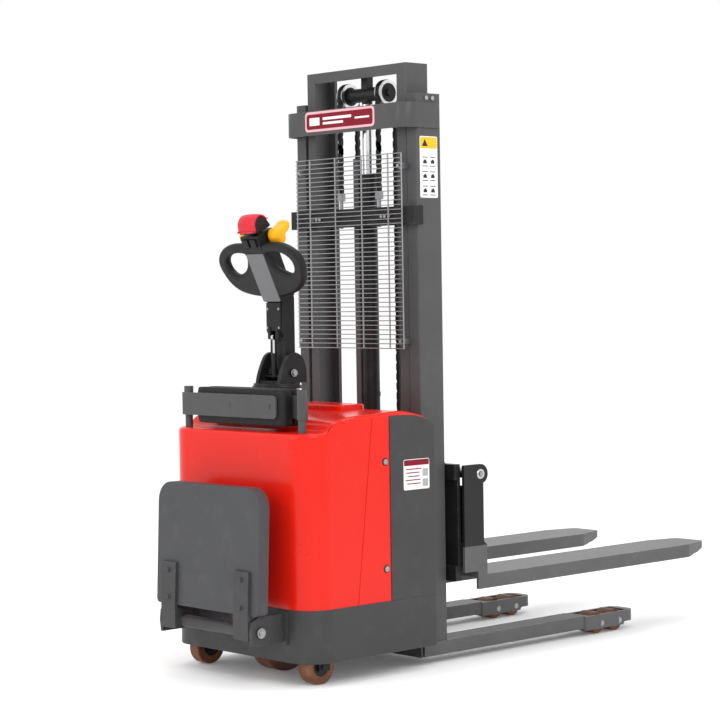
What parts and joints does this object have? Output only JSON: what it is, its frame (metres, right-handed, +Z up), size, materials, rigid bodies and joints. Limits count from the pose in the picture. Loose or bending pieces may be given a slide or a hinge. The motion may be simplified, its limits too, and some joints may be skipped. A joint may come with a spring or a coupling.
{
  "type": "walkie stacker",
  "caption": "Pedestrian pallet stacker with a two-stage mast, straddle legs, forks, tiller head, folding platform and side guards.",
  "frame": {"origin": "on the floor, at the centre of the machine's outline with the platform folded and the forks at rest", "axes": "+X towards the fork tips, +Y to the truck's left, +Z up"},
  "size_m": [2.069, 0.696, 1.931],
  "materials": {
    "chassis_grey": "fine semi-gloss powder coat, dark grey",
    "hood_red": "glossy bright red moulded cover",
    "mast_grey": "semi-gloss grey paint",
    "fork_grey": "semi-gloss grey paint, slightly worn",
    "black_paint": "satin black paint",
    "zinc": "bright zinc plate",
    "steel": "bare machined steel",
    "chrome": "hard chrome, polished",
    "chain_steel": "oiled leaf chain",
    "tread_amber": "amber-brown polyurethane",
    "grip_black": "moulded black plastic, fine texture",
    "throttle_yellow": "yellow moulded plastic",
    "button_red": "red moulded plastic",
    "pad_black": "black soft foam with skin",
    "board_grey": "grey ribbed rubber over a board",
    "battery_grey": "battery case",
    "drive_black": "painted cast housing"
  },
  "bodies": {
    "chassis": {"chassis_skirt": "chassis_grey", "side_panel_left": "chassis_grey", "side_panel_right": "chassis_grey", "base_deck": "chassis_grey", "hood": "hood_red", "fasteners": "zinc", "outer_mast_left": "mast_grey", "outer_mast_right": "mast_grey", "mast_top_beam": "mast_grey", "mast_mid_beam": "black_paint", "wire_guard": "zinc", "lift_cylinder": "black_paint", "leg_left": "fork_grey", "leg_right": "fork_grey", "platform_bracket": "chassis_grey", "guard_posts": "mast_grey", "battery": "battery_grey", "pump_unit": "drive_black", "lift_chains_rear": "chain_steel", "guard_arm_right": "mast_grey", "guard_pad_right": "pad_black"},
    "steering": {"drive_unit": "drive_black", "steering_column": "black_paint", "tiller_yoke": "black_paint"},
    "drive_wheel": {"drive_wheel": "tread_amber"},
    "tiller": {"tiller_arm": "grip_black", "tiller_head": "grip_black", "grip_left": "grip_black", "grip_right": "grip_black"},
    "gas_tube": {"gas_spring_tube": "black_paint"},
    "gas_rod": {"gas_spring_rod": "chrome"},
    "throttle": {"butterfly_throttle": "throttle_yellow"},
    "belly": {"belly_button": "button_red"},
    "lift_key": {"lift_button": "grip_black"},
    "lower_key": {"lower_button": "grip_black"},
    "caster_left": {"caster_fork_left": "black_paint"},
    "caster_right": {"caster_fork_right": "black_paint"},
    "caster_left_wheel": {"caster_wheel_left": "tread_amber"},
    "caster_right_wheel": {"caster_wheel_right": "tread_amber"},
    "roller_left_rear": {"load_roller_left_rear": "tread_amber"},
    "roller_left_front": {"load_roller_left_front": "tread_amber"},
    "roller_right_rear": {"load_roller_right_rear": "tread_amber"},
    "roller_right_front": {"load_roller_right_front": "tread_amber"},
    "inner_mast": {"inner_mast_left": "mast_grey", "inner_mast_right": "mast_grey", "inner_crossbars": "mast_grey", "piston_rod": "chrome", "lift_chains_front": "chain_steel"},
    "pulleys": {"chain_pulleys": "steel"},
    "carriage": {"carriage_frame": "black_paint", "fork_shaft": "steel"},
    "rollers_upper": {"guide_rollers_upper": "steel"},
    "rollers_lower": {"guide_rollers_lower": "steel"},
    "fork_l": {"fork_left": "fork_grey"},
    "fork_r": {"fork_right": "fork_grey"},
    "platform": {"platform_board": "board_grey", "platform_hinge": "chassis_grey"},
    "guard_left": {"guard_arm_left": "mast_grey", "guard_pad_left": "pad_black"},
    "stop_button": {"emergency_stop": "button_red"}
  },
  "joints": [
    {"name": "steer", "type": "hinge", "parent": "chassis", "child": "steering", "pos_m": [-0.7175, 0, 0.2], "axis": [0, 0, 1], "range_deg": [-90, 90]},
    {"name": "drive_wheel_spin", "type": "hinge", "parent": "steering", "child": "drive_wheel", "pos_m": [-0.7175, 0, 0.105], "axis": [0, 1, 0], "continuous": true},
    {"name": "tiller_tilt", "type": "hinge", "parent": "steering", "child": "tiller", "pos_m": [-0.7005, 0, 0.947], "axis": [0, -1, 0], "range_deg": [0, 75], "stiffness_Nm_per_rad": 16, "springref_deg": -20.05},
    {"name": "gas_spring_swing", "type": "hinge", "parent": "steering", "child": "gas_tube", "pos_m": [-0.7265, 0, 0.936], "axis": [0, -1, 0], "range_deg": [0, 81]},
    {"name": "gas_spring_stroke", "type": "slide", "parent": "gas_tube", "child": "gas_rod", "axis": [0, 0, -1], "range_m": [0, 0.0332]},
    {"name": "throttle_turn", "type": "hinge", "parent": "tiller", "child": "throttle", "pos_m": [-0.76672, 0, 1.37705], "axis": [0, 1, 0], "range_deg": [-25, 25], "stiffness_Nm_per_rad": 1.2},
    {"name": "belly_press", "type": "slide", "parent": "tiller", "child": "belly", "axis": [0.4244, 0, -0.9055], "range_m": [0, 0.006], "stiffness_N_per_m": 1200, "springref_m": -0.004},
    {"name": "lift_press", "type": "slide", "parent": "tiller", "child": "lift_key", "axis": [0.9055, 0, 0.4244], "range_m": [0, 0.003], "stiffness_N_per_m": 400, "springref_m": -0.002},
    {"name": "lower_press", "type": "slide", "parent": "tiller", "child": "lower_key", "axis": [0.9055, 0, 0.4244], "range_m": [0, 0.003], "stiffness_N_per_m": 400, "springref_m": -0.002},
    {"name": "caster_left_swivel", "type": "hinge", "parent": "chassis", "child": "caster_left", "pos_m": [-0.7915, 0.27, 0.127], "axis": [0, 0, 1], "continuous": true},
    {"name": "caster_left_spin", "type": "hinge", "parent": "caster_left", "child": "caster_left_wheel", "pos_m": [-0.8055, 0.27, 0.055], "axis": [0, 1, 0], "continuous": true},
    {"name": "caster_right_swivel", "type": "hinge", "parent": "chassis", "child": "caster_right", "pos_m": [-0.7915, -0.27, 0.127], "axis": [0, 0, 1], "continuous": true},
    {"name": "caster_right_spin", "type": "hinge", "parent": "caster_right", "child": "caster_right_wheel", "pos_m": [-0.8055, -0.27, 0.055], "axis": [0, 1, 0], "continuous": true},
    {"name": "roller_left_rear_spin", "type": "hinge", "parent": "chassis", "child": "roller_left_rear", "pos_m": [0.4862, 0.2475, 0.037], "axis": [0, 1, 0], "continuous": true},
    {"name": "roller_left_front_spin", "type": "hinge", "parent": "chassis", "child": "roller_left_front", "pos_m": [0.5792, 0.2475, 0.037], "axis": [0, 1, 0], "continuous": true},
    {"name": "roller_right_rear_spin", "type": "hinge", "parent": "chassis", "child": "roller_right_rear", "pos_m": [0.4862, -0.2475, 0.037], "axis": [0, 1, 0], "continuous": true},
    {"name": "roller_right_front_spin", "type": "hinge", "parent": "chassis", "child": "roller_right_front", "pos_m": [0.5792, -0.2475, 0.037], "axis": [0, 1, 0], "continuous": true},
    {"name": "mast_lift", "type": "slide", "parent": "chassis", "child": "inner_mast", "axis": [0, 0, 1], "range_m": [-0.093, 1.107], "deforming": ["lift_chains_rear"]},
    {"name": "pulley_spin", "type": "hinge", "parent": "inner_mast", "child": "pulleys", "pos_m": [-0.3075, 0, 1.848], "axis": [0, 1, 0], "continuous": true},
    {"name": "carriage_lift", "type": "slide", "parent": "inner_mast", "child": "carriage", "axis": [0, 0, 1], "range_m": [-0.093, 1.107], "deforming": ["lift_chains_front"]},
    {"name": "guide_rollers_upper_spin", "type": "hinge", "parent": "carriage", "child": "rollers_upper", "pos_m": [-0.3115, 0, 0.582], "axis": [0, 1, 0], "continuous": true},
    {"name": "guide_rollers_lower_spin", "type": "hinge", "parent": "carriage", "child": "rollers_lower", "pos_m": [-0.3115, 0, 0.32], "axis": [0, 1, 0], "continuous": true},
    {"name": "fork_left_slide", "type": "slide", "parent": "carriage", "child": "fork_l", "axis": [0, -1, 0], "range_m": [0, 0.1]},
    {"name": "fork_right_slide", "type": "slide", "parent": "carriage", "child": "fork_r", "axis": [0, 1, 0], "range_m": [0, 0.1]},
    {"name": "platform_fold", "type": "hinge", "parent": "chassis", "child": "platform", "pos_m": [-0.9915, 0, 0.174], "axis": [0, -1, 0], "range_deg": [0, 92.5]},
    {"name": "guard_left_swing", "type": "hinge", "parent": "chassis", "child": "guard_left", "pos_m": [-0.8545, 0.279, 0.85], "axis": [0, 0, -1], "range_deg": [0, 90]},
    {"name": "stop_press", "type": "slide", "parent": "chassis", "child": "stop_button", "axis": [0, 0, -1], "range_m": [0, 0.006], "stiffness_N_per_m": 800, "springref_m": -0.004}
  ],
  "couplings": [
    {"joint": "gas_spring_swing", "follows": "tiller_tilt", "ratio": 1.0733},
    {"joint": "gas_spring_stroke", "follows": "tiller_tilt", "m_per_rad": 0.02506},
    {"joint": "carriage_lift", "follows": "mast_lift", "ratio": 1}
  ]
}
